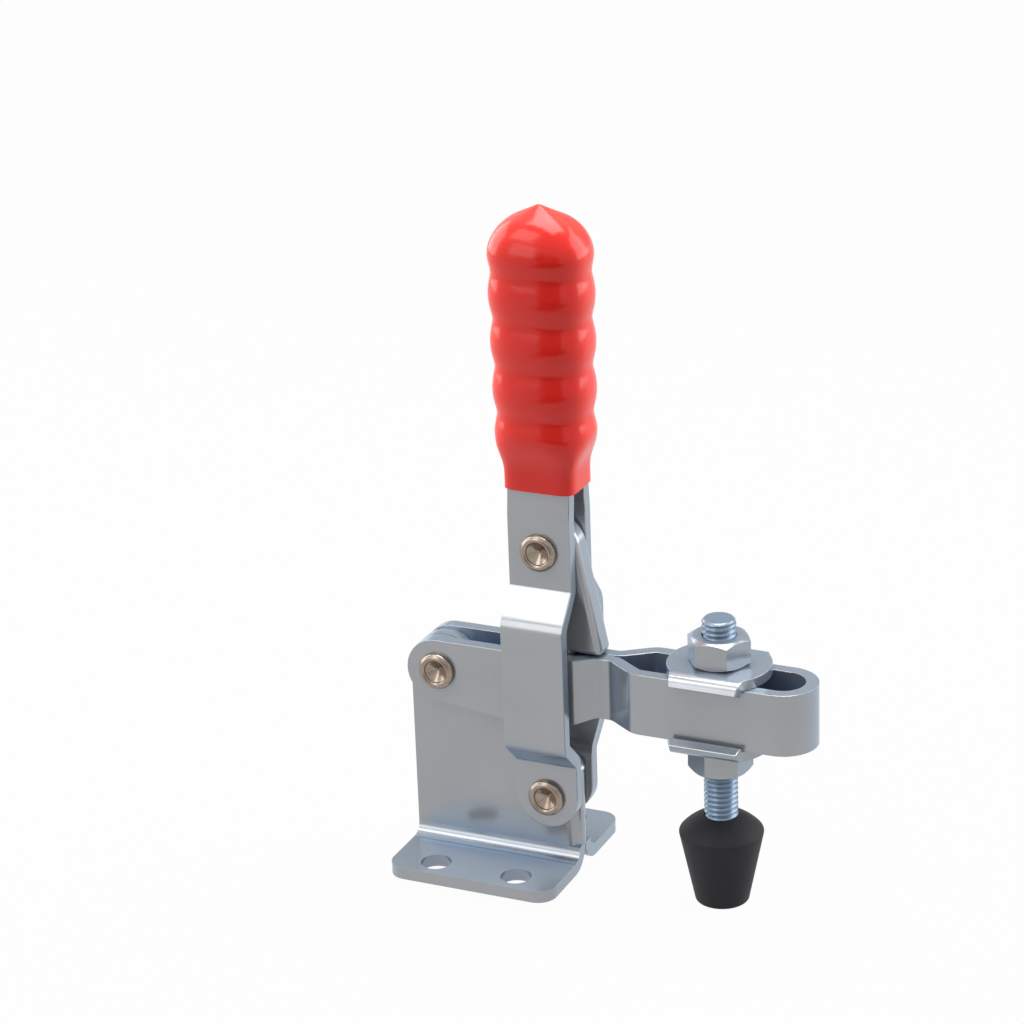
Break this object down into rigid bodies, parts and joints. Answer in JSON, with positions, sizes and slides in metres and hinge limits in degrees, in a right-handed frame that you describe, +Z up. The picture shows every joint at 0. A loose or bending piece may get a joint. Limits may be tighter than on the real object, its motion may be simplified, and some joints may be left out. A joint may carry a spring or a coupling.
{
  "type": "toggle clamp",
  "caption": "Vertical-handle toggle clamp with a slotted U-bar arm, an adjustable rubber-tipped spindle and a flanged base with bolt holes.",
  "frame": {"origin": "centre of the four bolt holes, on the mounting plane under the base's flanges", "axes": "+Z up along the closed handle, +X forward along the closed arm, Y across the symmetry plane"},
  "size_m": [0.1, 0.0438, 0.1641],
  "materials": {
    "zinc_steel": "bright zinc plate, satin",
    "rivet_steel": "bright, slightly yellow",
    "red_vinyl": "glossy dipped vinyl",
    "black_rubber": "matte"
  },
  "bodies": {
    "base": {"base": "zinc_steel", "rivet_handle_pivot": "rivet_steel"},
    "handle": {"handle_plate_right": "zinc_steel", "handle_plate_left": "zinc_steel", "grip": "red_vinyl", "rivet_link_upper": "rivet_steel"},
    "link": {"link": "zinc_steel"},
    "arm": {"clamp_arm": "zinc_steel", "rivet_arm_pivot": "rivet_steel", "rivet_link_lower": "rivet_steel"},
    "spindle_carriage": {"washer_upper": "zinc_steel", "washer_lower": "zinc_steel", "nut_upper": "zinc_steel", "nut_lower": "zinc_steel"},
    "spindle": {"stud": "zinc_steel", "rubber_cap": "black_rubber"}
  },
  "joints": [
    {"name": "handle_pivot", "type": "hinge", "parent": "base", "child": "handle", "pos_m": [0.0143, 0, 0.0195], "axis": [0, -1, 0], "range_deg": [0, 60]},
    {"name": "link_upper_pivot", "type": "hinge", "parent": "handle", "child": "link", "pos_m": [0.0143, 0, 0.0813], "axis": [0, -1, 0], "range_deg": [0, 76]},
    {"name": "link_lower_pivot", "type": "hinge", "parent": "link", "child": "arm", "pos_m": [0.014, 0, 0.0473], "axis": [0, -1, 0], "range_deg": [-40, 0]},
    {"name": "spindle_along_slot", "type": "slide", "parent": "arm", "child": "spindle_carriage", "axis": [1, 0, 0], "range_m": [-0.012, 0.016]},
    {"name": "spindle_height", "type": "slide", "parent": "spindle_carriage", "child": "spindle", "axis": [0, 0, 1], "range_m": [-0.003, 0.011]}
  ],
  "couplings": [
    {"joint": "link_upper_pivot", "follows": "handle_pivot", "ratio": 1.2605},
    {"joint": "link_lower_pivot", "follows": "handle_pivot", "ratio": -0.656}
  ]
}
